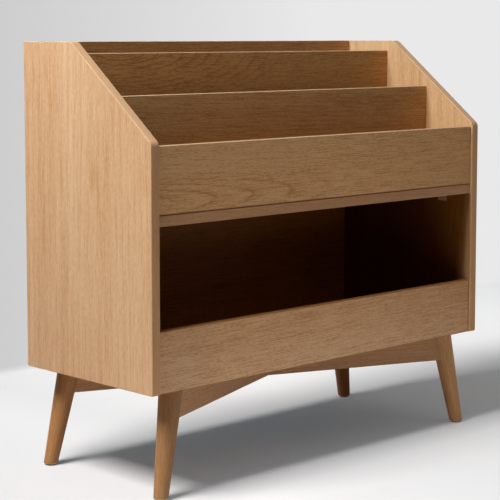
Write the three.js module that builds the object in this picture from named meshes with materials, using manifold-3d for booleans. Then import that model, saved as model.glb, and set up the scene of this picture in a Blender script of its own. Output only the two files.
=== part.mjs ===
// Picture book browser bin: upright book slots that step up towards the rear, over an open bin with
// a low front lip, on four splayed legs that two crossed stretchers tie together.
// Millimetres, +Z up, front towards -Y. The origin is on the floor under the middle of the case.
// Pieces that come in pairs or fours are drawn for the right or the rear right and then mirrored.
import * as THREE from "three";
import { mergeVertices } from "three/addons/utils/BufferGeometryUtils.js";
import Module from "manifold-3d";

const wasm = await Module();
wasm.setup();

// Case: heights are measured from the underside of the case
const caseWidth = 914;
const caseDepth = 373;
const caseHeight = 625;
const sideThickness = 19;
const frontEdgeHeight = 449;
const topFlatDepth = 147;
const slopeCornerRadius = 15;
const squareCornerRadius = 3;
const edgeEase = 1.5;

// Boards between the side panels
const frontSetback = 4;
const shelfTopHeight = 319.5;
const shelfThickness = 19;
const bottomThickness = 19;
const lipHeight = 113;
const lipThickness = 16;
const frontPanelThickness = 16;
const frontPanelDrop = 5.5;
const dividerThickness = 16;
const dividerDrop = 21.7;
const frontSlotDepth = 108;
const middleSlotDepth = 98;
const upperBackThickness = 16;
const lowerBackThickness = 4;
const backRebateWidth = 8;
const housingDepth = 5;

// Leg frame
const legHeight = 198;
const legTopRadius = 22.6;
const legFootRadius = 13.8;
const legFootEase = 3;
const legSplay = THREE.MathUtils.degToRad(11.9);
const legInsetX = 74.4;
const legInsetY = 36.3;
const stretcherHeight = 57;
const stretcherThickness = 25;

// Fittings
const glideRadius = 10;
const glideThickness = 2;
const glidePinRadius = 2;
const glidePinLength = 12;
const legBoltRadius = 4;
const legBoltDepthInLeg = 20;
const insertRadius = 6;
const insertLength = 13;
const stretcherDowelRadius = 5;
const stretcherDowelReach = 20;
const stretcherDowelDrop = 36;
const dowelRadius = 4;
const dowelDepthInSide = 10;
const dowelDepthInBoard = 20;
const dowelInset = 28;
const camRadius = 7.5;
const camDepth = 13;
const camInset = 24;
const camSetback = 70;
const camSlotWidth = 1.6;
const camSlotLength = 9;
const camSlotDepth = 2;
const camBoltRadius = 3;
const camBoltDepthInSide = 11;
const bracketWidth = 22;
const bracketReach = 21;
const bracketThickness = 2.5;
const bracketHoleRadius = 2.2;
const bracketSetback = 79;

// Clearance round a piece in its hole, groove or saddle, and the facets of round pieces
const fitGap = 0.3;
const overshoot = 1;
const legFacets = 40;
const fittingFacets = 16;
const arcSteps = 3;
const mergeDistance = 1e-4;

// Planes that several pieces share
const rightFace = caseWidth / 2;
const innerFace = rightFace - sideThickness;
const frontEdge = -caseDepth / 2;
const rearEdge = caseDepth / 2;
const caseBottom = legHeight;
const caseTop = caseBottom + caseHeight;
const slopeFoot = caseBottom + frontEdgeHeight;
const slopeHead = rearEdge - topFlatDepth;
const shelfTop = caseBottom + shelfTopHeight;
const shelfUnderside = shelfTop - shelfThickness;
const boardFront = frontEdge + frontSetback;
const boardRear = rearEdge - lowerBackThickness - fitGap;
const middleDividerFront = boardFront + frontPanelThickness + frontSlotDepth;
const rearDividerFront = middleDividerFront + dividerThickness + middleSlotDepth;
const legX = rightFace - legInsetX;
const legY = rearEdge - legInsetY;
const diagonalAngle = Math.atan2(legY, legX);
const diagonalReach = Math.hypot(legX, legY);
const stretcherBottom = caseBottom - stretcherHeight;

const corners = [
  { name: "front_left", x: -1, y: -1 },
  { name: "front_right", x: 1, y: -1 },
  { name: "back_left", x: -1, y: 1 },
  { name: "back_right", x: 1, y: 1 },
];

// Solids and cuts

function solidFrom(geometry) {
  const bare = geometry.clone();
  bare.deleteAttribute("normal");
  bare.deleteAttribute("uv");
  const merged = mergeVertices(bare, mergeDistance);
  return new wasm.Manifold(
    new wasm.Mesh({
      numProp: 3,
      vertProperties: merged.attributes.position.array,
      triVerts: new Uint32Array(merged.index.array),
    }),
  );
}

function geometryFrom(solid) {
  const { vertProperties, triVerts } = solid.getMesh();
  const indexed = new THREE.BufferGeometry();
  indexed.setAttribute("position", new THREE.BufferAttribute(vertProperties, 3));
  indexed.setIndex(new THREE.BufferAttribute(triVerts, 1));
  const geometry = indexed.toNonIndexed();
  geometry.computeVertexNormals();
  return geometry;
}

function carve(geometry, cutters) {
  let rest = solidFrom(geometry);
  for (const cutter of cutters) {
    rest = rest.subtract(solidFrom(cutter));
  }
  return geometryFrom(rest);
}

// Box between two opposite corners.
function block(low, high) {
  const from = new THREE.Vector3(...low);
  const size = new THREE.Vector3(...high).sub(from);
  const geometry = new THREE.BoxGeometry(size.x, size.y, size.z);
  return geometry.translate(from.x + size.x / 2, from.y + size.y / 2, from.z + size.z / 2);
}

// Round rod from one point to another.
function rod(radius, start, end) {
  const from = new THREE.Vector3(...start);
  const axis = new THREE.Vector3(...end).sub(from);
  const length = axis.length();
  const turn = new THREE.Quaternion().setFromUnitVectors(
    new THREE.Vector3(0, 1, 0),
    axis.clone().normalize(),
  );
  const geometry = new THREE.CylinderGeometry(radius, radius, length, fittingFacets);
  const middle = from.addScaledVector(axis, 0.5);
  return geometry.applyQuaternion(turn).translate(middle.x, middle.y, middle.z);
}

// Closed outline through anticlockwise corners, each rounded by its own radius.
function roundedOutline(stations) {
  const outline = new THREE.Shape();
  stations.forEach(({ at, radius }, index) => {
    const corner = new THREE.Vector2(...at);
    const before = stations[(index + stations.length - 1) % stations.length].at;
    const after = stations[(index + 1) % stations.length].at;
    const back = new THREE.Vector2(...before).sub(corner).normalize();
    const ahead = new THREE.Vector2(...after).sub(corner).normalize();
    const halfAngle = Math.acos(back.dot(ahead)) / 2;
    const tangent = radius / Math.tan(halfAngle);
    const inward = back.clone().add(ahead).normalize();
    const centre = corner.clone().addScaledVector(inward, radius / Math.sin(halfAngle));
    const start = corner.clone().addScaledVector(back, tangent).sub(centre).angle();
    const end = corner.clone().addScaledVector(ahead, tangent).sub(centre).angle();
    outline.absarc(centre.x, centre.y, radius, start, end, false);
  });
  outline.closePath();
  return outline;
}

// Section of a board with eased long edges.
function boardSection(front, bottom, rear, top) {
  return roundedOutline([
    { at: [front, bottom], radius: edgeEase },
    { at: [rear, bottom], radius: edgeEase },
    { at: [rear, top], radius: edgeEase },
    { at: [front, top], radius: edgeEase },
  ]);
}

// Outline drawn in Y and Z, carried along X from the left end to the right end.
function alongX(outline, left, right, options) {
  const geometry = new THREE.ExtrudeGeometry(outline, {
    depth: right - left,
    bevelEnabled: false,
    curveSegments: arcSteps,
    ...options,
  });
  const basis = new THREE.Matrix4().makeBasis(
    new THREE.Vector3(0, 1, 0),
    new THREE.Vector3(0, 0, 1),
    new THREE.Vector3(1, 0, 0),
  );
  return geometry.applyMatrix4(basis).translate(left, 0, 0);
}

// Height of the side panels' top edge at a given depth.
function sideTopAt(depth) {
  const climb = (depth - frontEdge) / (slopeHead - frontEdge);
  return slopeFoot + Math.min(climb, 1) * (caseTop - slopeFoot);
}

// Dowel joints between the side panels and the boards that butt against them

const dowelRows = {
  front_panel: {
    depth: boardFront + frontPanelThickness / 2,
    heights: [shelfTop + dowelInset, slopeFoot - frontPanelDrop - dowelInset],
  },
  lip: {
    depth: boardFront + lipThickness / 2,
    heights: [caseBottom + dowelInset, caseBottom + lipHeight - dowelInset],
  },
  upper_back: {
    depth: rearEdge - upperBackThickness / 2,
    heights: [shelfTop + dowelInset, caseTop - dowelInset],
  },
};

function dowelBetween(row, height, gap) {
  return rod(
    dowelRadius + gap,
    [innerFace - dowelDepthInBoard - gap, row.depth, height],
    [innerFace + dowelDepthInSide + gap, row.depth, height],
  );
}

function dowelHoles(row) {
  return row.heights.map((height) => dowelBetween(row, height, fitGap));
}

function bothEnds(cutters) {
  return cutters.flatMap((cutter) => [cutter, mirroredCopy(cutter)]);
}

// Mirror image across the middle of the case, with its faces turned outward again.
function mirroredCopy(geometry) {
  const flat = geometry.index ? geometry.toNonIndexed() : geometry.clone();
  const { array } = flat.attributes.position;
  for (let face = 0; face < array.length; face += 9) {
    const second = array.slice(face + 3, face + 6);
    array.copyWithin(face + 3, face + 6, face + 9);
    array.set(second, face + 6);
  }
  return flat.scale(-1, 1, 1);
}

// Cam joints between the side panels and the bottom panel

const camDepths = { front: frontEdge + camSetback, back: rearEdge - camSetback };
const camX = innerFace - camInset;
const camBoltHeight = caseBottom + bottomThickness / 2;

function camBody(depth, gap) {
  const top = caseBottom + camDepth + gap;
  return rod(camRadius + gap, [camX, depth, caseBottom - gap], [camX, depth, top]);
}

function camBolt(depth, gap) {
  return rod(
    camBoltRadius + gap,
    [camX - gap, depth, camBoltHeight],
    [innerFace + camBoltDepthInSide + gap, depth, camBoltHeight],
  );
}

// Lock disc with a hole for the bolt's end and a slot for the screwdriver.
function camLock(depth) {
  const slot = block(
    [camX - camSlotLength / 2, depth - camSlotWidth / 2, caseBottom - overshoot],
    [camX + camSlotLength / 2, depth + camSlotWidth / 2, caseBottom + camSlotDepth],
  );
  return carve(camBody(depth, 0), [camBolt(depth, fitGap), slot]);
}

// Case boards

function sidePanel() {
  const outline = roundedOutline([
    { at: [frontEdge, caseBottom], radius: squareCornerRadius },
    { at: [rearEdge, caseBottom], radius: squareCornerRadius },
    { at: [rearEdge, caseTop], radius: squareCornerRadius },
    { at: [slopeHead, caseTop], radius: slopeCornerRadius },
    { at: [frontEdge, slopeFoot], radius: slopeCornerRadius },
  ]);
  const board = alongX(outline, innerFace + edgeEase, rightFace - edgeEase, {
    depth: sideThickness - 2 * edgeEase,
    bevelEnabled: true,
    bevelThickness: edgeEase,
    bevelSize: edgeEase,
    bevelOffset: -edgeEase,
    bevelSegments: 2,
  });
  const grooveFloor = innerFace + housingDepth;
  const grooveMouth = innerFace - overshoot;
  const shelfHousing = block(
    [grooveMouth, boardFront - fitGap, shelfUnderside - fitGap],
    [grooveFloor, boardRear + fitGap, shelfTop + fitGap],
  );
  const dividerHousings = [middleDividerFront, rearDividerFront].map((front) =>
    block(
      [grooveMouth, front - fitGap, shelfTop],
      [grooveFloor, front + dividerThickness + fitGap, sideTopAt(front) - dividerDrop + fitGap],
    ),
  );
  const backRebate = block(
    [grooveMouth, boardRear, caseBottom - overshoot],
    [innerFace + backRebateWidth, rearEdge + overshoot, shelfTop],
  );
  return carve(board, [
    shelfHousing,
    ...dividerHousings,
    backRebate,
    ...Object.values(dowelRows).flatMap(dowelHoles),
    ...Object.values(camDepths).map((depth) => camBolt(depth, fitGap)),
  ]);
}

// Board whose ends sit in the side panels' grooves.
function housedBoard(front, bottom, rear, top) {
  const end = innerFace + housingDepth - fitGap;
  return alongX(boardSection(front, bottom, rear, top), -end, end);
}

function divider(front) {
  const top = sideTopAt(front) - dividerDrop;
  return housedBoard(front, shelfTop, front + dividerThickness, top);
}

// Board that butts against the side panels and is held there by dowels.
function dowelledBoard(row, front, bottom, rear, top) {
  const board = alongX(boardSection(front, bottom, rear, top), -innerFace, innerFace);
  return carve(board, bothEnds(dowelHoles(row)));
}

function slotFrontPanel() {
  const rear = boardFront + frontPanelThickness;
  const top = slopeFoot - frontPanelDrop;
  return dowelledBoard(dowelRows.front_panel, boardFront, shelfTop, rear, top);
}

function binLip() {
  const rear = boardFront + lipThickness;
  return dowelledBoard(dowelRows.lip, boardFront, caseBottom, rear, caseBottom + lipHeight);
}

function upperBackPanel() {
  const front = rearEdge - upperBackThickness;
  return dowelledBoard(dowelRows.upper_back, front, shelfTop, rearEdge, caseTop);
}

function lowerBackPanel() {
  const end = innerFace + backRebateWidth - fitGap;
  return block(
    [-end, rearEdge - lowerBackThickness, caseBottom + edgeEase],
    [end, rearEdge, shelfTop - fitGap],
  );
}

function bottomPanel() {
  const front = boardFront + lipThickness;
  const section = boardSection(front, caseBottom, boardRear, caseBottom + bottomThickness);
  const camHoles = Object.values(camDepths).flatMap((depth) => [
    camBody(depth, fitGap),
    camBolt(depth, fitGap),
  ]);
  const insertHoles = bothEnds([-1, 1].map((side) => insertBody(side, fitGap)));
  return carve(alongX(section, -innerFace, innerFace), [...bothEnds(camHoles), ...insertHoles]);
}

// Angle bracket that carries the shelf on a side panel.
function shelfBracket(side) {
  const middle = side * (caseDepth / 2 - bracketSetback);
  const near = middle - bracketWidth / 2;
  const far = middle + bracketWidth / 2;
  const inner = innerFace - bracketThickness;
  const lower = shelfUnderside - bracketThickness;
  const outline = block(
    [innerFace - bracketReach, near, shelfUnderside - bracketReach],
    [innerFace, far, shelfUnderside],
  );
  const hollow = block(
    [innerFace - bracketReach - overshoot, near - overshoot, shelfUnderside - bracketReach - overshoot],
    [inner, far + overshoot, lower],
  );
  const holeOffset = (bracketReach + bracketThickness) / 2;
  const wallHole = rod(
    bracketHoleRadius,
    [inner - overshoot, middle, shelfUnderside - holeOffset],
    [innerFace + overshoot, middle, shelfUnderside - holeOffset],
  );
  const shelfHole = rod(
    bracketHoleRadius,
    [innerFace - holeOffset, middle, lower - overshoot],
    [innerFace - holeOffset, middle, shelfUnderside + overshoot],
  );
  return carve(outline, [hollow, wallHole, shelfHole]);
}

// Leg frame

// Tapered leg, swelled by a gap where it cuts a saddle, leaning outward along the diagonal.
function legBody(gap) {
  const footArc = Array.from({ length: arcSteps + 1 }, (_, step) => {
    const angle = (step / arcSteps) * (Math.PI / 2);
    return new THREE.Vector2(
      legFootRadius + gap - legFootEase * (1 - Math.sin(angle)),
      glideThickness + legFootEase * (1 - Math.cos(angle)),
    );
  });
  const profile = [
    new THREE.Vector2(0, glideThickness),
    ...footArc,
    new THREE.Vector2(legTopRadius + gap, legHeight),
    new THREE.Vector2(0, legHeight),
  ];
  const geometry = new THREE.LatheGeometry(profile, legFacets).rotateX(Math.PI / 2);
  const lean = Math.tan(legSplay);
  const leanX = lean * Math.cos(diagonalAngle);
  const leanY = lean * Math.sin(diagonalAngle);
  const shear = new THREE.Matrix4().set(
    1, 0, -leanX, legX + leanX * legHeight,
    0, 1, -leanY, legY + leanY * legHeight,
    0, 0, 1, 0,
    0, 0, 0, 1,
  );
  return geometry.applyMatrix4(shear);
}

// Place on the leg's middle line at a given height.
function legAxisAt(height) {
  const reach = diagonalReach + (legHeight - height) * Math.tan(legSplay);
  return [reach * Math.cos(diagonalAngle), reach * Math.sin(diagonalAngle), height];
}

function legBolt(gap) {
  const bottom = caseBottom - legBoltDepthInLeg - gap;
  const top = caseBottom + insertLength - fitGap + gap;
  return rod(legBoltRadius + gap, [legX, legY, bottom], [legX, legY, top]);
}

function insertBody(side, gap) {
  const top = caseBottom + insertLength + gap;
  return rod(insertRadius + gap, [legX, side * legY, caseBottom - gap], [legX, side * legY, top]);
}

function threadedInsert() {
  return carve(insertBody(1, 0), [legBolt(fitGap)]);
}

function stretcherDowel(gap) {
  const height = caseBottom - stretcherDowelDrop;
  const end = legAxisAt(height);
  const length = 2 * stretcherDowelReach + gap;
  const start = [
    end[0] - length * Math.cos(diagonalAngle),
    end[1] - length * Math.sin(diagonalAngle),
    height,
  ];
  return rod(stretcherDowelRadius + gap, start, end);
}

function glide(gap) {
  const [x, y] = legAxisAt(glideThickness);
  const pinTop = glideThickness + glidePinLength + gap;
  const profile = [
    [0, 0],
    [glideRadius - glideThickness / 2, 0],
    [glideRadius, glideThickness / 2],
    [glideRadius, glideThickness],
    [glidePinRadius + gap, glideThickness],
    [glidePinRadius + gap, pinTop],
    [0, pinTop],
  ].map(([radius, height]) => new THREE.Vector2(radius, height));
  return new THREE.LatheGeometry(profile, fittingFacets).rotateX(Math.PI / 2).translate(x, y, 0);
}

function leg() {
  return carve(legBody(0), [legBolt(fitGap), stretcherDowel(fitGap), glide(fitGap)]);
}

// Straight board on the diagonal, saddled to a leg at each end and halved where the two cross.
function stretcher(notchFromTop) {
  const half = stretcherThickness / 2;
  const section = boardSection(-half, stretcherBottom, half, caseBottom);
  const board = alongX(section, -diagonalReach, diagonalReach).rotateZ(diagonalAngle);
  const middle = (stretcherBottom + caseBottom) / 2;
  const notchLength = stretcherThickness / Math.sin(diagonalAngle);
  const notch = block(
    [-notchLength, -half - fitGap, notchFromTop ? middle - fitGap / 2 : stretcherBottom - overshoot],
    [notchLength, half + fitGap, notchFromTop ? caseBottom + overshoot : middle + fitGap / 2],
  ).rotateZ(-diagonalAngle);
  const rearCuts = [legBody(fitGap), stretcherDowel(fitGap)];
  const frontCuts = rearCuts.map((cut) => cut.clone().rotateZ(Math.PI));
  return carve(board, [notch, ...rearCuts, ...frontCuts]);
}

// Materials

function oak() {
  return new THREE.MeshStandardMaterial({ color: 0xc79a6b, roughness: 0.55, metalness: 0 });
}

function beech() {
  return new THREE.MeshStandardMaterial({ color: 0xd9b98c, roughness: 0.7, metalness: 0 });
}

function zincSteel() {
  return new THREE.MeshStandardMaterial({ color: 0xb8bbbd, roughness: 0.35, metalness: 1 });
}

function brass() {
  return new THREE.MeshStandardMaterial({ color: 0xb58d4a, roughness: 0.4, metalness: 1 });
}

function bronzedSteel() {
  return new THREE.MeshStandardMaterial({ color: 0x7d6148, roughness: 0.5, metalness: 0.6 });
}

function nylon() {
  return new THREE.MeshStandardMaterial({ color: 0x4a3b30, roughness: 0.6, metalness: 0 });
}

// Assembly

const browserBin = new THREE.Group();

function addPiece(name, geometry, material, mirror = {}) {
  const mesh = new THREE.Mesh(geometry, material);
  mesh.name = name;
  mesh.scale.set(mirror.x ?? 1, mirror.y ?? 1, 1);
  browserBin.add(mesh);
}

function addAtBothEnds(name, geometry, material) {
  addPiece(`${name}_left`, geometry, material, { x: -1 });
  addPiece(`${name}_right`, geometry, material);
}

function addAtCorners(name, geometry, makeMaterial) {
  for (const corner of corners) {
    addPiece(`${name}_${corner.name}`, geometry, makeMaterial(), corner);
  }
}

const sideGeometry = sidePanel();
addPiece("left_side_panel", sideGeometry, oak(), { x: -1 });
addPiece("right_side_panel", sideGeometry, oak());
addPiece("bottom_panel", bottomPanel(), oak());
addPiece("bin_lip", binLip(), oak());
addPiece("slot_shelf", housedBoard(boardFront, shelfUnderside, boardRear, shelfTop), oak());
addPiece("slot_front_panel", slotFrontPanel(), oak());
addPiece("middle_divider", divider(middleDividerFront), oak());
addPiece("rear_divider", divider(rearDividerFront), oak());
addPiece("upper_back_panel", upperBackPanel(), oak());
addPiece("lower_back_panel", lowerBackPanel(), oak());

addAtCorners("leg", leg(), oak);
addAtCorners("foot_glide", glide(0), nylon);
addAtCorners("leg_bolt", legBolt(0), zincSteel);
addAtCorners("leg_insert", threadedInsert(), brass);
addAtCorners("stretcher_dowel", stretcherDowel(0), beech);
addPiece("stretcher_front_left_to_back_right", stretcher(true), oak());
addPiece("stretcher_front_right_to_back_left", stretcher(false), oak(), { x: -1 });

for (const [end, depth] of Object.entries(camDepths)) {
  addAtBothEnds(`cam_lock_${end}`, camLock(depth), zincSteel());
  addAtBothEnds(`cam_bolt_${end}`, camBolt(depth, 0), zincSteel());
}

addAtBothEnds("shelf_bracket_front", shelfBracket(-1), bronzedSteel());
addAtBothEnds("shelf_bracket_back", shelfBracket(1), bronzedSteel());

for (const [board, row] of Object.entries(dowelRows)) {
  const [lower, upper] = row.heights;
  addAtBothEnds(`${board}_dowel_lower`, dowelBetween(row, lower, 0), beech());
  addAtBothEnds(`${board}_dowel_upper`, dowelBetween(row, upper, 0), beech());
}

export default browserBin;
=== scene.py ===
import math
import bpy
import numpy as np
from mathutils import Euler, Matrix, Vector


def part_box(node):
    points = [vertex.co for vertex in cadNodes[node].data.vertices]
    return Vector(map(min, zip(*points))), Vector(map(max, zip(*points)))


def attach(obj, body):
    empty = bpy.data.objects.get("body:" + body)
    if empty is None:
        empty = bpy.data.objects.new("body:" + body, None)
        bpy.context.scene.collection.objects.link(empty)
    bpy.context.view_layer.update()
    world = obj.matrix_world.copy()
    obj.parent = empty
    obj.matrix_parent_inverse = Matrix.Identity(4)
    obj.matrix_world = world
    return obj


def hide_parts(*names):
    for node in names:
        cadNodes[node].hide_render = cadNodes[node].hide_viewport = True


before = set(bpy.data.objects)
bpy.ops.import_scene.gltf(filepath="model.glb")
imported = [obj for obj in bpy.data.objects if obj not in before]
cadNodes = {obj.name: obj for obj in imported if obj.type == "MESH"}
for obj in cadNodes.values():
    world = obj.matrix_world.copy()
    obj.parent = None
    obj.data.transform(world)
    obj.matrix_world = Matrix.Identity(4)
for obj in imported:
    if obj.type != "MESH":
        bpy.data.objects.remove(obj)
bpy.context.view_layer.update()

scene = bpy.context.scene
corners = ("front_left", "front_right", "back_left", "back_right")
print("frame loaded with", len(cadNodes), "CAD nodes")


# node helpers: put makes a node, sets its properties and fills or wires its sockets
def put(tree, kind, wires=None, **settings):
    node = tree.nodes.new("ShaderNode" + kind)
    for name, value in settings.items():
        setattr(node, name, value)
    for socket, source in (wires or {}).items():
        if isinstance(source, bpy.types.NodeSocket):
            tree.links.new(source, node.inputs[socket])
        else:
            node.inputs[socket].default_value = source
    return node


def calc(tree, operation, first, second=0.0, third=0.0, clamp=False):
    return put(tree, "Math", {0: first, 1: second, 2: third}, operation=operation, use_clamp=clamp).outputs[0]


# low at a span's start, high at its end, and held beyond both
def spread(tree, value, span, low=0.0, high=1.0, **settings):
    wires = {0: value, 1: span[0], 2: span[1], 3: low, 4: high}
    return put(tree, "MapRange", wires, **settings).outputs[0]


def axesOf(tree, vector):
    return put(tree, "SeparateXYZ", {0: vector}).outputs


def distance(tree, place, middle):
    return put(tree, "VectorMath", {0: place, 1: middle}, operation="DISTANCE").outputs["Value"]


def blendColour(tree, factor, first, second, mode="MIX"):
    wires = {0: factor, 6: first, 7: second}
    return put(tree, "Mix", wires, data_type="RGBA", blend_type=mode).outputs[2]


# noise on a vector stretched by three scales, with the stretch done by a Mapping node
def stretchedNoise(tree, vector, scales, detail, shift=(0.0, 0.0, 0.0)):
    stretched = put(tree, "Mapping", {"Vector": vector, "Location": shift, "Scale": scales})
    wires = {"Vector": stretched.outputs[0], "Scale": 1.0, "Detail": detail, "Roughness": 0.55}
    return put(tree, "TexNoise", wires).outputs[0]


def rampValue(tree, factor, stops):
    ramp = put(tree, "ValToRGB", {0: factor})
    while len(ramp.color_ramp.elements) < len(stops):
        ramp.color_ramp.elements.new(0.5)
    for element, (place, shade) in zip(ramp.color_ramp.elements, stops):
        element.position = place
        element.color = (shade, shade, shade, 1.0)
    return ramp.outputs[0]


# an input is a number's default, or the kind of socket that every material fills
def newGroup(name, inputs, outputs):
    group = bpy.data.node_groups.new(name, "ShaderNodeTree")
    for label, value in inputs.items():
        kind = value if isinstance(value, str) else "Float"
        socket = group.interface.new_socket(label, in_out="INPUT", socket_type="NodeSocket" + kind)
        if kind == "Float":
            socket.default_value = value
    for label, kind in outputs.items():
        group.interface.new_socket(label, in_out="OUTPUT", socket_type="NodeSocket" + kind)
    return group, group.nodes.new("NodeGroupInput").outputs, group.nodes.new("NodeGroupOutput").inputs


# Oak figure. The vector runs along the grain in x, across the face in y and into the board in z, in metres.
# Growth rings are distances from a heart line through the vector's zero, which leans into the board by Lean metres
# a metre, so they show as long arches. Fibre, dashes, streaks and pores are noises stretched along the grain.
oakStyle = {
    "wander": 0.01,           # how far the rings stray, m
    "jitter": 0.0016,         # fine raggedness of the ring lines, m
    # noise scales along, across and into the board
    "strayAcrossScale": (2.6, 11.0, 11.0),
    "strayDepthScale": (2.1, 7.0, 7.0),
    "raggedScale": (34.0, 150.0, 150.0),
    "patchScale": (8.0, 40.0, 40.0),
    "fibreScale": (16.0, 520.0, 520.0),
    "dashScale": (110.0, 900.0, 900.0),
    "streakScale": (2.4, 62.0, 62.0),
    "toneScale": (1.1, 6.0, 6.0),
    "poreScale": (28.0, 760.0, 760.0),
    # one ring from start to end: dark early wood, then smooth late wood; patches and pores come and go
    "ringStops": [(0.0, 0.25), (0.06, 1.0), (0.2, 0.3), (0.75, 0.0), (1.0, 0.25)],
    "patchStops": [(0.36, 0.12), (0.58, 1.0)],
    "poreStops": [(0.58, 0.0), (0.7, 1.0)],
    "fadeFrom": 0.7,          # share of Ring Reach where the rings start to fade
    "fadeLeaves": 0.2,        # what is left of them beyond that reach
    "earlyPores": 0.4,        # pores crowd in the early wood
    "latePores": 0.6,
    "dashShare": 0.8,
    "poreShare": 0.2,
    "middleEarly": 0.2,
    "middleTone": 0.38,
    "rough": 0.46,
    "poreRough": 0.16,
    "fibreRough": 0.1,
    "poreHeight": -0.7,
    "fibreHeight": 0.4,
    "ringHeight": -0.16,
}


def makeOakGroup():
    group, given, result = newGroup(
        "oakFigure",
        {"Grain": "Vector", "Lean": 0.1, "Ring Width": 0.006, "Ring Reach": 1.0, "Seed": 0.0, "Figure": 0.3,
         "Fibre": 0.5, "Streak": 0.5, "Tone": 0.3, "Pale": "Color", "Deep": "Color"},
        {"Colour": "Color", "Roughness": "Float", "Height": "Float"},
    )
    grain = given["Grain"]

    def add(amount, share, rest):
        return calc(group, "MULTIPLY_ADD", amount, share, rest)

    # the shifts only keep the noises apart
    def noise(kind, detail, shift=(0.0, 0.0, 0.0)):
        return stretchedNoise(group, grain, oakStyle[kind + "Scale"], detail, shift)

    def around(kind, detail, shift=(0.0, 0.0, 0.0)):
        return calc(group, "SUBTRACT", noise(kind, detail, shift), 0.5)

    part = axesOf(group, grain)
    across = add(noise("strayAcross", 2.0), oakStyle["wander"], part[1])
    depth = add(noise("strayDepth", 2.0, (4.1, 2.7, 9.3)), oakStyle["wander"], part[2])
    depth = add(part[0], given["Lean"], depth)
    reach = calc(group, "SQRT", add(depth, depth, calc(group, "MULTIPLY", across, across)))
    reach = add(noise("ragged", 3.0, (3.3, 0.4, 1.1)), oakStyle["jitter"], reach)
    ring = calc(group, "FRACT", calc(group, "DIVIDE", reach, given["Ring Width"]))
    early = rampValue(group, ring, oakStyle["ringStops"])
    patch = put(group, "Mapping", {"Vector": grain, "Scale": oakStyle["patchScale"]}).outputs[0]
    patch = put(group, "TexNoise", {"Vector": patch, "W": given["Seed"], "Scale": 1.0},
                noise_dimensions="4D").outputs[0]
    early = calc(group, "MULTIPLY", early, rampValue(group, patch, oakStyle["patchStops"]))
    fadeFrom = calc(group, "MULTIPLY", given["Ring Reach"], oakStyle["fadeFrom"])
    outer = spread(group, reach, (fadeFrom, given["Ring Reach"]), 1.0, oakStyle["fadeLeaves"])
    early = calc(group, "MULTIPLY", early, outer)
    fibre = add(around("dash", 1.0, (6.6, 2.2, 4.8)), oakStyle["dashShare"], around("fibre", 3.0))
    streak = around("streak", 3.0, (7.7, 1.9, 3.1))
    tone = around("tone", 1.0, (2.9, 8.3, 5.7))
    pore = rampValue(group, noise("pore", 1.0, (1.3, 6.1, 0.7)), oakStyle["poreStops"])
    pore = calc(group, "MULTIPLY", pore, add(early, oakStyle["earlyPores"], oakStyle["latePores"]))
    deepness = add(calc(group, "SUBTRACT", early, oakStyle["middleEarly"]), given["Figure"], oakStyle["middleTone"])
    deepness = add(fibre, given["Fibre"], deepness)
    deepness = add(streak, given["Streak"], deepness)
    deepness = add(tone, given["Tone"], deepness)
    deepness = add(pore, calc(group, "MULTIPLY", given["Fibre"], oakStyle["poreShare"]), deepness)
    deepness = calc(group, "ADD", deepness, 0.0, clamp=True)
    rough = add(pore, oakStyle["poreRough"], oakStyle["rough"])
    height = add(pore, oakStyle["poreHeight"], calc(group, "MULTIPLY", fibre, oakStyle["fibreHeight"]))
    group.links.new(blendColour(group, deepness, given["Pale"], given["Deep"]), result["Colour"])
    group.links.new(add(fibre, oakStyle["fibreRough"], rough), result["Roughness"])
    group.links.new(add(early, oakStyle["ringHeight"], height), result["Height"])
    return group


# Edge wear and painted highlight. The mask is 1 on an arris and 0 on the flats; noise breaks it up, so only parts of
# an edge are rubbed and made paler, partly as real wear and partly as a painted highlight.
wearAndSheenStyle = {
    "patchScale": (26.0, 26.0, 26.0),
    "patchStops": [(0.34, 0.4), (0.6, 1.0)],
    "anyEdge": 0.2,           # upper edges get the most wear and painted highlight
    "upperEdge": 0.8,
}


def makeWearAndSheenGroup():
    group, given, result = newGroup(
        "edgeWear",
        {"Colour": "Color", "Arris": 0.0, "Place": "Vector", "Rubbed": "Color", "Amount": 0.5},
        {"Colour": "Color", "Mask": "Float"},
    )
    patches = stretchedNoise(group, given["Place"], wearAndSheenStyle["patchScale"], 3.0)
    patches = rampValue(group, patches, wearAndSheenStyle["patchStops"])
    mask = calc(group, "MULTIPLY", calc(group, "MULTIPLY", given["Arris"], patches), given["Amount"])
    group.links.new(blendColour(group, mask, given["Colour"], given["Rubbed"]), result["Colour"])
    group.links.new(mask, result["Mask"])
    return group


# Speckle of a plain finish: slow drift and fine grains around one colour, with matching roughness and height.
speckleStyle = {
    "driftScale": (60.0, 60.0, 60.0),
    "driftShare": 0.4,
    "fineScale": 900.0,
    "fineShare": 0.6,
    "fleckStops": [(0.42, 0.0), (0.66, 1.0)],
    "fleckRough": 0.14,
}


def makeSpeckleGroup():
    group, given, result = newGroup(
        "finishSpeckle",
        {"Place": "Vector", "Colour": "Color", "Fleck": "Color", "Roughness": 0.4},
        {"Colour": "Color", "Roughness": "Float", "Height": "Float"},
    )
    drift = stretchedNoise(group, given["Place"], speckleStyle["driftScale"], 2.0)
    wires = {"Vector": given["Place"], "Scale": speckleStyle["fineScale"], "Detail": 2.0}
    fine = put(group, "TexNoise", wires).outputs[0]
    fleck = calc(group, "MULTIPLY", fine, speckleStyle["fineShare"])
    fleck = calc(group, "MULTIPLY_ADD", drift, speckleStyle["driftShare"], fleck)
    fleck = rampValue(group, fleck, speckleStyle["fleckStops"])
    rough = calc(group, "MULTIPLY_ADD", fleck, speckleStyle["fleckRough"], given["Roughness"])
    group.links.new(blendColour(group, fleck, given["Colour"], given["Fleck"]), result["Colour"])
    group.links.new(rough, result["Roughness"])
    group.links.new(fine, result["Height"])
    return group


oakFigure = makeOakGroup()
edgeWear = makeWearAndSheenGroup()
finishSpeckle = makeSpeckleGroup()


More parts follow.
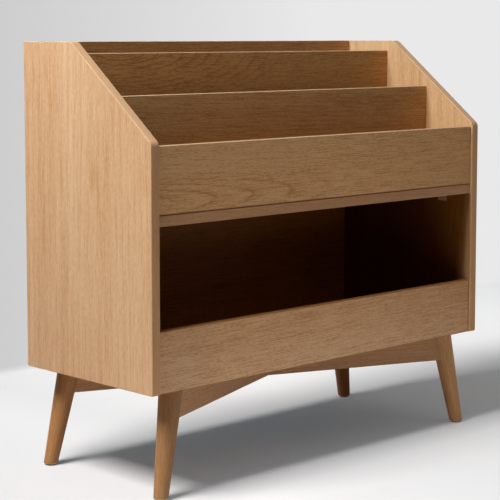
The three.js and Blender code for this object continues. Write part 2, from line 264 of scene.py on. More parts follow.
def startMaterial(name):
    material = bpy.data.materials.new(name)
    material.use_nodes = True
    tree = material.node_tree
    return material, tree, tree.nodes["Principled BSDF"]


def finishSurface(tree, shader, colour, rough, height, finish):
    bump = put(tree, "Bump", {"Strength": finish["bump"], "Distance": finish["bumpDepth"], "Height": height})
    tree.links.new(colour, shader.inputs["Base Color"])
    tree.links.new(rough, shader.inputs["Roughness"])
    tree.links.new(bump.outputs[0], shader.inputs["Normal"])


oakFinish = {
    "pale": (0.76, 0.462, 0.243, 1.0),
    "deep": (0.54, 0.25, 0.092, 1.0),
    "rubbed": (0.86, 0.74, 0.58, 1.0),
    "gloss": 0.2,
    "worn": 0.6,              # how much of an arris is rubbed and painted pale as a highlight, unless a piece says otherwise
    "wornRough": 0.1,
    "bump": 0.12,
    "bumpDepth": 0.0005,
}
# how the grain turns on each kind of board: rotation that takes object axes to along, across and depth
grainTurn = {
    "upright": (0.0, math.radians(90), 0.0),   # side panels, grain up
    "facing": (math.radians(90), 0.0, 0.0),    # boards seen from the front, grain along the case
    "level": (0.0, 0.0, 0.0),
}


# shift that moves a point of the heart line to the grain vector's zero after the turn
def heartShift(turn, point):
    return tuple(-(Euler(turn).to_matrix() @ Vector(point)))


# Painted shade of the bin's inside and of the rear faces of the slots' boards: darker colours where shade falls.
# span gives the heights covered. A side panel stays paler at the mouth, as painted light, in a strip that widens
# downwards: its painted shade grows over the depths of mouth. Round the upper front corner, before the depths of
# corner, the painted shade is lighter.
binPaintedShade = {
    "back": {"span": (0.0, 1.0), "stain": (0.68, 0.4, 0.09, 1.0)},
    "board": {"span": (0.0, 1.0), "stain": (0.42, 0.33, 0.24, 1.0)},
    "side": {"span": (0.19, 0.4975), "stain": (0.24, 0.1, 0.03, 1.0), "mouth": (-0.215, -0.165), "widen": -0.13,
             "corner": (-0.13, -0.03), "narrow": 0.5, "cornerStain": (0.5, 0.29, 0.083, 1.0)},
    "floor": {"span": (0.2165, 0.3), "stain": (0.25, 0.1, 0.04, 1.0)},
    "slot": {"span": (0.0, 1.0), "stain": (0.58, 0.6, 0.66, 1.0)},
}


def paintedShadeColour(tree, colour, part, look):
    floor, roof = look["span"]
    inside = calc(tree, "MULTIPLY", calc(tree, "GREATER_THAN", part[2], floor),
                  calc(tree, "LESS_THAN", part[2], roof))
    stain = look["stain"]
    if "mouth" in look:
        below = calc(tree, "SUBTRACT", roof, part[2])
        strip = spread(tree, calc(tree, "MULTIPLY_ADD", below, look["widen"], part[1]), look["mouth"])
        inside = calc(tree, "MULTIPLY", inside, strip)
        deep = spread(tree, calc(tree, "MULTIPLY_ADD", below, look["narrow"], part[1]), look["corner"])
        stain = blendColour(tree, deep, look["cornerStain"], stain)
    return blendColour(tree, inside, colour, stain, "MULTIPLY")


def tinted(tone, tint):
    return tuple(share * part for share, part in zip(oakFinish[tone], tint)) + (1.0,)


# painted light and shade that changes along X or Z, from low at the span's start to high at its end
def paintedLightAlong(axis, start, end, low, high):
    return {"axis": axis, "span": (start, end), "low": (*low, 1.0), "high": (*high, 1.0)}


# One oak material. source says where the grain vector comes from: object coordinates, a UV map or an attribute.
# the painted shade of a board that shows inside the bin or the slots is named after tint; fades are painted light
# and shade.
def oakMaterial(name, turn, shift, tint, lining=None, worn=oakFinish["worn"], fades=(), source="object", **figure):
    material, tree, shader = startMaterial(name)
    place = put(tree, "TexCoord").outputs["Object"]
    if source == "object":
        vector = place
    elif source == "edgeRun":
        vector = put(tree, "UVMap", uv_map="edgeRun").outputs[0]
    else:
        vector = put(tree, "Attribute", attribute_name=source).outputs["Vector"]
    grain = put(tree, "Mapping", {"Vector": vector, "Location": shift, "Rotation": turn}).outputs[0]
    wires = {"Grain": grain, "Pale": tinted("pale", tint), "Deep": tinted("deep", tint), **figure}
    oak = put(tree, "Group", wires, node_tree=oakFigure).outputs
    arris = put(tree, "Attribute", attribute_name="arris").outputs["Fac"]
    wires = {"Colour": oak["Colour"], "Arris": arris, "Place": place, "Rubbed": oakFinish["rubbed"], "Amount": worn}
    wearSheen = put(tree, "Group", wires, node_tree=edgeWear).outputs
    shader.inputs["Specular IOR Level"].default_value = oakFinish["gloss"]
    rough = calc(tree, "MULTIPLY_ADD", wearSheen["Mask"], oakFinish["wornRough"], oak["Roughness"])
    colour = wearSheen["Colour"]
    part = axesOf(tree, place)
    for fade in fades:
        share = spread(tree, part[fade["axis"]], fade["span"])
        colour = blendColour(tree, 1.0, colour, blendColour(tree, share, fade["low"], fade["high"]), "MULTIPLY")
    if lining:
        colour = paintedShadeColour(tree, colour, part, binPaintedShade[lining])
    finishSurface(tree, shader, colour, rough, oak["Height"], oakFinish)
    return material


plainFinish = {"bump": 0.12, "bumpDepth": 0.0003}


# One plain finish: metal or plastic with speckle.
def plainMaterial(name, colour, fleck, rough, metallic):
    material, tree, shader = startMaterial(name)
    wires = {"Place": put(tree, "TexCoord").outputs["Object"], "Colour": colour, "Fleck": fleck, "Roughness": rough}
    speckle = put(tree, "Group", wires, node_tree=finishSpeckle).outputs
    shader.inputs["Metallic"].default_value = metallic
    finishSurface(tree, shader, speckle["Colour"], speckle["Roughness"], speckle["Height"], plainFinish)
    return material


zincSteel = plainMaterial("zincSteel", (0.46, 0.48, 0.49, 1), (0.58, 0.6, 0.6, 1), rough=0.34, metallic=1.0)
brass = plainMaterial("brass", (0.47, 0.27, 0.07, 1), (0.56, 0.35, 0.12, 1), rough=0.32, metallic=1.0)
bronzedSteel = plainMaterial("bronzedSteel", (0.5, 0.29, 0.15, 1), (0.58, 0.36, 0.21, 1), rough=0.4, metallic=0.0)
blackNylon = plainMaterial("blackNylon", (0.07, 0.045, 0.03, 1), (0.1, 0.07, 0.05, 1), rough=0.5, metallic=0.0)
print("finishes made:", len(bpy.data.materials))


# mesh helpers: quads between neighbouring rings of a closed grid, with a flat cap at each end
def loftFaces(rings, around):
    ring, step = np.meshgrid(np.arange(rings - 1), np.arange(around), indexing="ij")
    after = (step + 1) % around
    low, high = ring * around, (ring + 1) * around
    quads = np.stack([low + step, low + after, high + after, high + step], -1).reshape(-1, 4)
    first = np.arange(around)[::-1]
    last = (rings - 1) * around + np.arange(around)
    return quads.tolist() + [first.tolist(), last.tolist()]


def addObject(name, data):
    thing = bpy.data.objects.new(name, data)
    scene.collection.objects.link(thing)
    return thing


def addPiece(name, points, faces, materials, standsFor=(), faceSlots=None, smooth=None):
    mesh = bpy.data.meshes.new(name)
    mesh.from_pydata(points.tolist(), [], faces)
    for material in materials:
        mesh.materials.append(material)
    if faceSlots is not None:
        mesh.polygons.foreach_set("material_index", np.asarray(faceSlots, np.int32))
    if smooth is not None:
        mesh.polygons.foreach_set("use_smooth", np.asarray(smooth, bool))
    piece = addObject(name, mesh)
    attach(piece, "root")
    if standsFor:
        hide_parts(*standsFor)
    mesh.update()
    return piece


# piece made of rings of points: smooth bands and two flat caps; capSlots are a board's cap materials
def addLoft(name, points, materials, standsFor, capSlots=None):
    rings, around = points.shape[:2]
    bands = (rings - 1) * around
    faceSlots = [1] * bands + capSlots if capSlots else None
    return addPiece(name, points.reshape(-1, 3), loftFaces(rings, around), materials, standsFor, faceSlots,
                    [True] * bands + [False, False])


def setPointData(piece, name, values, kind="FLOAT", field="value"):
    attribute = piece.data.attributes.new(name, kind, "POINT")
    attribute.data.foreach_set(field, np.asarray(values, np.float32).ravel())


# points of a unit circle: cosine and sine of the angle
def unitCircle(around, turn=0.0):
    angle = turn + np.linspace(0, 2 * np.pi, around, endpoint=False)
    return np.stack([np.cos(angle), np.sin(angle)], -1)


# the circle carried to the plane square to an axis
def circleRound(axis, around):
    sideways = np.cross((1.0, 0.0, 0.0) if axis[2] else (0.0, 0.0, 1.0), axis)
    return unitCircle(around) @ np.stack([sideways, np.cross(axis, sideways)])


# quarter round of radius 1: how far it sets in, how far it rises, and a mask that is 1 half way round
def quarterRound(steps):
    quarter = np.linspace(0, np.pi / 2, steps + 1)
    return 1 - np.sin(quarter), 1 - np.cos(quarter), np.sin(2 * quarter)


# Closed outline with an arc at every corner. The arc's centre is the corner moved back along both sides;
# its points turn in equal steps from one side's outward normal to the next one's.
def roundedLoop(outline, radii, steps=5):
    corner = np.asarray(outline, float)
    into = corner - np.roll(corner, 1, 0)
    into /= np.linalg.norm(into, axis=1, keepdims=True)
    out = np.roll(into, -1, 0)
    turn = np.arctan2(into[:, 0] * out[:, 1] - into[:, 1] * out[:, 0], (into * out).sum(1))
    radius = np.asarray(radii, float) * np.sign(turn)
    setback = radius * np.tan(turn / 2)
    side = np.c_[into[:, 1], -into[:, 0]]
    centre = corner - into * setback[:, None] - side * radius[:, None]
    angle = np.arctan2(side[:, 1], side[:, 0])[:, None] + turn[:, None] * np.linspace(0, 1, steps + 1)
    normal = np.stack([np.cos(angle), np.sin(angle)], -1)
    points = centre[:, None] + radius[:, None, None] * normal
    return points.reshape(-1, 2), normal.reshape(-1, 2)


# Board with a quarter round along both faces' edges. point(ring, step) = loop(step) - normal(step) * setIn(ring)
# in the outline's plane, at rise(ring) through the thickness. Returns the rings and an arris mask.
def easedRings(loop, normal, thickness, ease, steps=4):
    setIn, rise, arris = quarterRound(steps)
    setIn = ease * np.r_[setIn, setIn[::-1]]
    rise = np.r_[ease * rise, thickness - ease * rise[::-1]]
    arris = np.r_[arris, arris[::-1]]
    flat = loop[None] - normal[None] * setIn[:, None, None]
    depth = np.broadcast_to(rise[:, None, None], flat.shape[:2] + (1,))
    return np.concatenate([flat, depth], -1), np.repeat(arris[:, None], len(loop), 1)


# plane each board is drawn in: (a, b, through) to x, y, z, with through counted from start
def onSide(local, start):
    return np.stack([start + local[..., 2], local[..., 0], local[..., 1]], -1)


def onFront(local, start):
    return np.stack([local[..., 0], start - local[..., 2], local[..., 1]], -1)


def onLevel(local, start):
    return np.stack([local[..., 0], local[..., 1], start + local[..., 2]], -1)


# UV map edgeRun: x runs round the outline, y runs over the edge from one face to the other
def setEdgeRun(piece, local):
    rings, around = local.shape[:2]
    middle = local[rings // 2]
    run = np.r_[0, np.cumsum(np.linalg.norm(np.diff(np.r_[middle, middle[:1]], axis=0), axis=1))]
    over = np.r_[0, np.cumsum(np.linalg.norm(np.diff(local[:, 0], axis=0), axis=1))]
    ring, step = np.meshgrid(np.arange(rings - 1), np.arange(around), indexing="ij")
    along = np.stack([run[step], run[step + 1], run[step + 1], run[step]], -1)
    up = np.stack([over[ring], over[ring], over[ring + 1], over[ring + 1]], -1)
    quads = np.stack([along, up], -1).reshape(-1, 2)
    caps = np.concatenate([local[0][::-1, :2], local[-1][:, :2]])
    layer = piece.data.uv_layers.new(name="edgeRun")
    layer.data.foreach_set("uv", np.concatenate([quads, caps]).astype(np.float32).ravel())


# materials are first face, edge band and, where it differs, last face
def easedBoard(name, outline, radii, thickness, ease, plane, start, materials, standsFor):
    loop, normal = roundedLoop(outline, radii)
    local, arris = easedRings(loop, normal, thickness, ease)
    lastFace = len(materials) - 1 if len(materials) > 2 else 0
    piece = addLoft(name, plane(local, start), materials, standsFor, [0, lastFace])
    upper = np.clip(normal[:, 1], 0, 1)
    setPointData(piece, "arris", arris * (wearAndSheenStyle["anyEdge"] + wearAndSheenStyle["upperEdge"] * upper))
    setEdgeRun(piece, local)


def rectangle(left, bottom, right, top):
    return [(left, bottom), (right, bottom), (right, top), (left, top)]


sidePanel = {
    "slopeFoot": 0.647,       # height of the front edge's top
    "topFlat": 0.147,         # level top left at the rear
    "slopeRadius": 0.015,
    "cornerRadius": 0.003,
    "ease": 0.0012,
    "tint": (1.03, 1.09, 1.18),
    "insideTint": (0.9, 0.99, 1.01),
    "bandTint": (1.02, 1.04, 1.08),
    # painted light and shade: the faces are paler towards the top and darker near the foot, and the bands are
    # darkened as painted shade, changing where the slope starts
    "faceFade": paintedLightAlong("Z", 0.22, 0.8, (0.93, 0.92, 0.93), (1.08, 1.125, 1.18)),
    "bandFade": paintedLightAlong("Z", 0.6, 0.67, (0.94, 0.86, 0.77), (0.79, 0.81, 0.83)),
    "worn": 0.9,
    "heart": {"left": (-0.02, 0.05), "right": (0.06, -0.1)},   # where the heart line meets the face, y and z
    "figure": {"Lean": 0.06, "Ring Width": 0.017, "Figure": 0.34, "Fibre": 1.45, "Streak": 0.75, "Tone": 1.0},
    "bandFigure": {"Ring Width": 0.0034, "Lean": 0.02, "Figure": 0.5, "Fibre": 0.8, "Streak": 0.6},
    "bandAcross": 0.1,
}


def makeSidePanel(side):
    low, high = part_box(side + "_side_panel")
    outline = [(low.y, low.z), (high.y, low.z), (high.y, high.z), (high.y - sidePanel["topFlat"], high.z),
               (low.y, sidePanel["slopeFoot"])]
    radii = [sidePanel["cornerRadius"]] * 3 + [sidePanel["slopeRadius"]] * 2
    turn, heart = grainTurn["upright"], sidePanel["heart"][side]
    outside = oakMaterial(side + "SideOutside", turn, heartShift(turn, (low.x, *heart)),
                          sidePanel["tint"], fades=[sidePanel["faceFade"]], **sidePanel["figure"])
    inside = oakMaterial(side + "SideInside", turn, heartShift(turn, (high.x, *heart)),
                         sidePanel["insideTint"], "side", fades=[sidePanel["faceFade"]], **sidePanel["figure"])
    band = oakMaterial(side + "SideBand", grainTurn["level"], (heart[1], sidePanel["bandAcross"], 0.0),
                       sidePanel["bandTint"], worn=sidePanel["worn"], fades=[sidePanel["bandFade"]],
                       source="edgeRun", **sidePanel["bandFigure"])
    first, last = (outside, inside) if side == "left" else (inside, outside)
    easedBoard(side + "_panel_board", outline, radii, high.x - low.x, sidePanel["ease"], onSide, low.x,
               [first, band, last], [side + "_side_panel"])


makeSidePanel("left")
makeSidePanel("right")

# Boards between the sides. Each reads its box from the frame. Dowelled boards end a hair short of the sides'
# inner faces, which shows as a joint line; the shelf and the dividers run up to them.
innerFace = 0.438
boardLook = {
    "ease": 0.0012,
    "corner": 0.0015,
    "endGap": 0.0012,
    "seam": 0.0022,           # shadow gap under the slots' front panel
    "bandShift": (1.0, 1.1, 1.28),   # edge bands are less red than the faces
    "faceFigure": {"Streak": 0.8, "Tone": 0.45},
    "bandFigure": {"Ring Width": 0.004, "Lean": 0.02, "Figure": 0.3, "Fibre": 1.3, "Streak": 0.8},
    # heart is where the heart line meets the face, x and z; tilt is how far the grain runs off level, in degrees;
    # the painted shade is on the first face, at the rear or below, unless the look puts it last
    # painted shade: the dividers' tints are darker where they sit in shade, and the bandTints darken the boards' top
    # edges, most on the lip's top, which the shelf shades
    "front": {"node": "slot_front_panel", "heart": (-0.62, 0.536), "tint": (1.06, 1.0, 0.88), "worn": 0.3,
              "bandTint": (0.72, 0.75, 0.77), "lining": "slot",
              "figure": {"Lean": 0.085, "Ring Width": 0.0078, "Ring Reach": 0.06, "Figure": 1.15, "Fibre": 2.8},
              "fades": [paintedLightAlong("X", 0.05, 0.43, (1.0, 1.0, 1.0), (0.87, 0.82, 0.73))]},
    "middle": {"node": "middle_divider", "heart": (-0.1, 0.95), "tilt": -1.5, "tint": (0.77, 0.795, 0.615),
               "worn": 0.45, "bandTint": (0.66, 0.75, 0.68), "lining": "slot",
               "figure": {"Lean": 0.1, "Ring Width": 0.009, "Seed": 1.0, "Figure": 0.7, "Fibre": 3.0},
               "fades": [paintedLightAlong("X", -0.42, 0.3, (1.18, 1.2, 1.3), (0.95, 0.95, 0.91)),
                         paintedLightAlong("Z", 0.64, 0.72, (0.94, 0.9, 0.86), (1.15, 1.08, 1.07))]},
    "rear": {"node": "rear_divider", "heart": (-0.31, 0.801), "tint": (0.94, 0.835, 0.545), "worn": 0.45,
             "bandTint": (0.75, 0.75, 0.58), "lining": "slot",
             "figure": {"Lean": 0.26, "Ring Width": 0.0085, "Ring Reach": 0.125, "Seed": 2.0, "Figure": 1.8,
                        "Fibre": 4.9},
             "fades": [paintedLightAlong("X", -0.42, 0.42, (1.12, 1.14, 1.3), (0.84, 0.84, 0.84)),
                       paintedLightAlong("Z", 0.725, 0.76, (0.9, 0.86, 0.83), (1.1, 1.08, 1.04)),
                       paintedLightAlong("Z", 0.77, 0.8, (1.0, 1.0, 1.0), (0.92, 0.93, 0.93))]},
    "back": {"node": "upper_back_panel", "heart": (0.3, 0.7), "tint": (0.93, 0.825, 0.6),
             "rearTint": (1.0, 1.0, 1.0),
             "figure": {"Lean": 0.06, "Ring Width": 0.008, "Seed": 3.0, "Figure": 0.45, "Fibre": 2.8}},
    "lip": {"node": "bin_lip", "heart": (0.1, 0.1), "tilt": 1.0, "tint": (1.08, 1.08, 1.1), "worn": 0.0,
            "bandTint": (0.6, 0.48, 0.34), "lining": "board",
            "figure": {"Lean": 0.08, "Ring Width": 0.008, "Seed": 5.0, "Figure": 0.35, "Fibre": 2.5},
            "fades": [paintedLightAlong("X", 0.05, 0.43, (1.02, 1.02, 1.03), (0.9, 0.87, 0.83)),
                      paintedLightAlong("X", -0.36, -0.27, (0.9, 0.9, 0.92), (1.0, 1.0, 1.0)),
                      paintedLightAlong("Z", 0.21, 0.3, (1.03, 1.045, 1.07), (0.945, 0.9, 0.84))]},
}


def boardMaterials(name, turn, heart, look):
    turn = (turn[0], turn[1], math.radians(look.get("tilt", 0.0)))
    shift = heartShift(turn, heart)
    figure = {**boardLook["faceFigure"], **look["figure"]}
    worn = look.get("worn", oakFinish["worn"])
    face = oakMaterial(name + "Veneer", turn, shift, look["tint"], worn=worn,
                       fades=look.get("fades", ()), **figure)
    bandTint = look.get("bandTint", np.array(look["tint"]) * boardLook["bandShift"])
    band = oakMaterial(name + "Band", grainTurn["level"], shift, bandTint, worn=worn, source="edgeRun",
                       **boardLook["bandFigure"])
    shadedFace = oakMaterial(name + "Stained", turn, shift, look.get("rearTint", look["tint"]),
                        look.get("lining"), **figure)
    return [face, band, shadedFace] if look.get("linedLast") else [shadedFace, band, face]


def makeFacingBoard(label):
    look = boardLook[label]
    low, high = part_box(look["node"])
    housed = label in ("middle", "rear")
    reach = innerFace if housed else innerFace - boardLook["endGap"]
    bottom = max(low.z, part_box("slot_shelf")[1].z) if housed else low.z
    bottom += boardLook["seam"] if label == "front" else 0.0
    heart = (look["heart"][0], low.y, look["heart"][1])
    easedBoard(label + "_board", rectangle(-reach, bottom, reach, high.z), [boardLook["corner"]] * 4,
               high.y - low.y, boardLook["ease"], onFront, high.y,
               boardMaterials(label + "Board", grainTurn["facing"], heart, look), [look["node"]])


for label in ("front", "middle", "rear", "back", "lip"):
    makeFacingBoard(label)

tongueLook = {"setBack": 0.0018, "ease": 0.0002, "tint": (0.5, 0.27, 0.08), "grainShift": (0.3, 0.1, 0.2),
              "figure": {"Figure": 0.3, "Fibre": 1.0}}


# The front panel stands on a tongue, set back from its face, which fills the shadow gap; its dark tint is painted
# shade.
def makeTongue():
    low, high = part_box("slot_front_panel")
    reach = innerFace - boardLook["endGap"]
    wood = oakMaterial("tongueOak", grainTurn["facing"], tongueLook["grainShift"], tongueLook["tint"],
                       **tongueLook["figure"])
    easedBoard("front_board_tongue", rectangle(-reach, low.z, reach, low.z + boardLook["seam"]),
               [tongueLook["ease"]] * 4, high.y - low.y - 2 * tongueLook["setBack"], tongueLook["ease"], onFront,
               high.y - tongueLook["setBack"], [wood, wood], [])


makeTongue()

shelfLook = {"heart": (-0.2, 0.3), "tint": (0.78, 0.64, 0.52), "lining": "board",
             "figure": {"Lean": 0.05, "Ring Width": 0.008, "Seed": 6.0, "Figure": 0.4, "Fibre": 2.3}}


def makeShelf():
    low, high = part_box("slot_shelf")
    heart = (*shelfLook["heart"], high.z)
    easedBoard("shelf_board", rectangle(-innerFace, low.y, innerFace, high.y), [boardLook["corner"]] * 4,
               high.z - low.z, boardLook["ease"], onLevel, low.z,
               boardMaterials("shelfBoard", grainTurn["level"], heart, shelfLook), ["slot_shelf"])


makeShelf()

lowerBack = {"setIn": 0.0006, "ease": 0.0006, "corner": 0.002, "heart": (0.2, 0.1), "tint": (1.0, 1.0, 1.0),
             "linedLast": True, "lining": "back",
             "figure": {"Lean": 0.05, "Ring Width": 0.009, "Seed": 4.0, "Figure": 0.4, "Fibre": 2.3}}


def makeLowerBack():
    low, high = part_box("lower_back_panel")
    heart = (lowerBack["heart"][0], low.y, lowerBack["heart"][1])
    easedBoard("lower_back_board", rectangle(low.x, low.z, high.x, high.z), [lowerBack["corner"]] * 4,
               high.y - low.y - lowerBack["setIn"], lowerBack["ease"], onFront, high.y - lowerBack["setIn"],
               boardMaterials("lowerBack", grainTurn["facing"], heart, lowerBack), ["lower_back_panel"])


makeLowerBack()
print("boards made")

# Turned legs. Level rings of a straight taper, each ring's middle moved out along the lean:
# radius(z) goes evenly from foot to top, and a quarter round eases the foot.
legShape = {
    "topMiddle": (0.3826, 0.1502),
    "footMiddle": (0.42105, 0.16529),
    "footHeight": 0.002,
    "topHeight": 0.198,
    "topRadius": 0.0226,
    "footRadius": 0.0138,
    "footEase": 0.0032,
    "easeSteps": 6,
    "around": 64,
    "up": 40,
    # the leg tints are painted shade: legs that stand more in the case's shadow are darker, the back right darkest
    "tint": {"front_left": (0.52, 0.46, 0.39), "back_left": (0.66, 0.55, 0.42), "front_right": (0.87, 0.79, 0.665),
             "back_right": (0.46, 0.31, 0.16)},
    "grainStart": (0.0, 0.03, 0.04),
    "grainStep": (0.37, 0.0, 0.21),   # each leg is cut from another place
    "figure": {"Lean": 0.03, "Ring Width": 0.005, "Figure": 0.4, "Fibre": 1.2, "Streak": 0.6},
}


def makeLeg(corner, number):
    sign = (-1 if "left" in corner else 1, -1 if "front" in corner else 1)
    low, top, ease = legShape["footHeight"], legShape["topHeight"], legShape["footEase"]
    setIn, rise, arris = quarterRound(legShape["easeSteps"])
    height = np.r_[low + ease * rise, np.linspace(low + ease, top, legShape["up"])[1:]]
    share = (height - low) / (top - low)
    radius = legShape["footRadius"] + (legShape["topRadius"] - legShape["footRadius"]) * share
    radius[:len(setIn)] -= ease * setIn
    foot, head = np.array(legShape["footMiddle"]), np.array(legShape["topMiddle"])
    middle = (foot + (head - foot) * share[:, None]) * sign
    circle = radius[:, None, None] * unitCircle(legShape["around"])
    heights = np.broadcast_to(height[:, None, None], circle.shape[:2] + (1,))
    points = np.concatenate([middle[:, None] + circle, heights], -1)
    shift = tuple(start + step * number for start, step in zip(legShape["grainStart"], legShape["grainStep"]))
    material = oakMaterial("leg" + str(number) + "Oak", grainTurn["level"], shift, legShape["tint"][corner],
                           source="legGrain", **legShape["figure"])
    piece = addLoft("turned_leg_" + corner, points, [material], ["leg_" + corner])
    setPointData(piece, "legGrain", np.concatenate([heights, circle], -1), "FLOAT_VECTOR", "vector")
    footShare = np.zeros(circle.shape[:2])
    footShare[:len(arris)] = arris[:, None]
    setPointData(piece, "arris", footShare)


for number, corner in enumerate(corners):
    makeLeg(corner, number)
print("legs made")

# Foot glides: a profile of radius and height carried round an upright axis, with a quarter round at the floor.
glideShape = {"radius": 0.01, "thickness": 0.002, "round": 0.0009, "inner": (0.003, 0.006), "steps": 5, "around": 48}


def makeGlide(corner):
    low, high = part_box("foot_glide_" + corner)
    middle = ((low.x + high.x) / 2, (low.y + high.y) / 2, 0.0)
    setIn, rise, _ = quarterRound(glideShape["steps"])
    radius = np.r_[glideShape["inner"], glideShape["radius"] - glideShape["round"] * setIn, glideShape["radius"]]
    height = np.r_[0.0, 0.0, glideShape["round"] * rise, glideShape["thickness"]]
    axis = np.array((0.0, 0.0, 1.0))
    circle = radius[:, None, None] * circleRound(axis, glideShape["around"])
    points = np.array(middle) + circle + height[:, None, None] * axis
    addLoft("glide_pad_" + corner, points, [blackNylon], ["foot_glide_" + corner])


for corner in corners:
    makeGlide(corner)

# Screw heads: a low dome on a polar grid. height(radius, angle) = dome - cross, where the cross is two slots.
screwShape = {"radius": 0.0034, "rise": 0.0012, "recess": 0.0008, "slotHalf": 0.00055, "slotReach": 0.0021,
              "ringSpan": (0.04, 0.96), "rings": 22, "around": 72, "domeDrop": 0.85, "domePower": 2.6,
              "turn": {"wall": 0.3, "shelf": 0.7, "back": 0.5}}


def makeScrews(name, places, axis, rise, material, turn):
    share = np.r_[np.linspace(*screwShape["ringSpan"], screwShape["rings"]), 1.0, 1.0][:, None]
    radius = share * screwShape["radius"]
    across, up = (radius * part for part in unitCircle(screwShape["around"], turn).T)
    dome = rise * np.sqrt(np.clip(1 - screwShape["domeDrop"] * share ** screwShape["domePower"], 0, 1))
    half, reach = screwShape["slotHalf"], screwShape["slotReach"]
    slotOne = (np.abs(across) < half) & (np.abs(up) < reach)
    slotTwo = (np.abs(up) < half) & (np.abs(across) < reach)
    height = np.where(slotOne | slotTwo, dome - screwShape["recess"] * rise / screwShape["rise"], dome)
    height[-1] = 0.0
    axis = np.asarray(axis, float)
    circle = radius[..., None] * circleRound(axis, screwShape["around"])
    head = (circle + height[..., None] * axis)[::-1]
    rings, around = head.shape[:2]
    points = np.asarray(places, float)[:, None] + head.reshape(1, -1, 3)
    starts = range(0, len(places) * rings * around, rings * around)
    faces = [[start + index for index in face] for start in starts for face in loftFaces(rings, around)]
    addPiece(name, points.reshape(-1, 3), faces, [material])


# Angle brackets: an L outline with a round bend, carried through the bracket's width with eased edges.
bracketShape = {"thickness": 0.0025, "bend": 0.003, "tip": 0.001, "ease": 0.0004, "easeSteps": 3}


def makeBracket(corner):
    low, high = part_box("shelf_bracket_" + corner)
    thick = bracketShape["thickness"]
    under = high.z - thick
    inward = 1 if "left" in corner else -1
    wall, end = (low.x, high.x) if inward > 0 else (high.x, low.x)
    wallFace = wall + inward * thick
    outline = [(wall, high.z), (wall, low.z), (wallFace, low.z), (wallFace, under), (end, under), (end, high.z)]
    if inward < 0:
        outline[1:] = outline[:0:-1]    # the other way round, so that faces point outwards
    loop, normal = roundedLoop(outline, [bracketShape["bend"]] + [bracketShape["tip"]] * 5)
    local, _ = easedRings(loop, normal, high.y - low.y, bracketShape["ease"], bracketShape["easeSteps"])
    addLoft("angle_bracket_" + corner, onFront(local, high.y), [bronzedSteel],
            ["shelf_bracket_" + corner])
    middleY = (low.y + high.y) / 2
    reach = (high.x - low.x + thick) / 2
    wallPlace = (wallFace, middleY, high.z - reach)
    shelfPlace = (wallFace + inward * (reach - thick), middleY, under)
    for label, place, axis in (("wall", wallPlace, (inward, 0, 0)), ("shelf", shelfPlace, (0, 0, -1))):
        makeScrews("bracket_" + label + "_screw_" + corner, [place], axis, screwShape["rise"], bronzedSteel,
                   screwShape["turn"][label])


for corner in corners:
    makeBracket(corner)

backScrews = {"edge": 0.012, "across": 5, "up": 3}


def makeBackScrews():
    low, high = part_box("lower_back_panel")
    edge = backScrews["edge"]
    across = np.linspace(low.x + edge, high.x - edge, backScrews["across"])
    up = np.linspace(low.z + edge, high.z - edge, backScrews["up"])
    rear = high.y - lowerBack["setIn"]
    places = [(x, rear, z) for x in across for z in (up[0], up[-1])]
    places += [(x, rear, up[1]) for x in (across[0], across[-1])]
    makeScrews("lower_back_screws", places, (0, 1, 0), lowerBack["setIn"], zincSteel,
               screwShape["turn"]["back"])


makeBackScrews()
print("fittings made")

# CAD nodes that stay: their meshes are right, so they only get a finish
cadFinish = {
    "diagonal": math.radians(21.434),
    "stretcherShift": (0.3, 0.3, 0.06),
    "stretcherTint": (0.77, 0.74, 0.72),
    "bottomShift": (0.2, 0.1, 0.3),
    "bottomTint": (0.92, 0.88, 0.84),
    "figure": {"Lean": 0.03, "Ring Width": 0.006, "Figure": 0.32, "Fibre": 1.4, "Streak": 0.6},
    "beechShift": (0.6, 0.2, 0.1),
    "beechTint": (1.06, 1.08, 1.1),
    "beechFigure": {"Ring Width": 0.003, "Figure": 0.15, "Fibre": 0.4, "Streak": 0.3},
}


def finishCadNode(node, material):
    mesh = cadNodes[node].data
    mesh.materials.clear()
    mesh.materials.append(material)


def finishCadNodes():
    along, across, depth = cadFinish["stretcherShift"]
    for node, turn in (("stretcher_front_left_to_back_right", -1), ("stretcher_front_right_to_back_left", 1)):
        rotation = (math.radians(90), -turn * cadFinish["diagonal"], 0.0)
        finishCadNode(node, oakMaterial(node.replace("stretcher_", "") + "_oak", rotation,
                                        (along * turn, across, depth), cadFinish["stretcherTint"],
                                        **cadFinish["figure"]))
    finishCadNode("bottom_panel", oakMaterial("bottomVeneer", grainTurn["level"], cadFinish["bottomShift"],
                                              cadFinish["bottomTint"], "floor", **cadFinish["figure"]))
    beech = oakMaterial("beechDowel", grainTurn["level"], cadFinish["beechShift"], cadFinish["beechTint"],
                        **cadFinish["beechFigure"])
    for node in cadNodes:
        if node.startswith(("cam_", "leg_bolt")):
            finishCadNode(node, zincSteel)
        elif node.startswith("leg_insert"):
            finishCadNode(node, brass)
        elif "dowel" in node:
            finishCadNode(node, beech)


finishCadNodes()
print("CAD nodes finished")

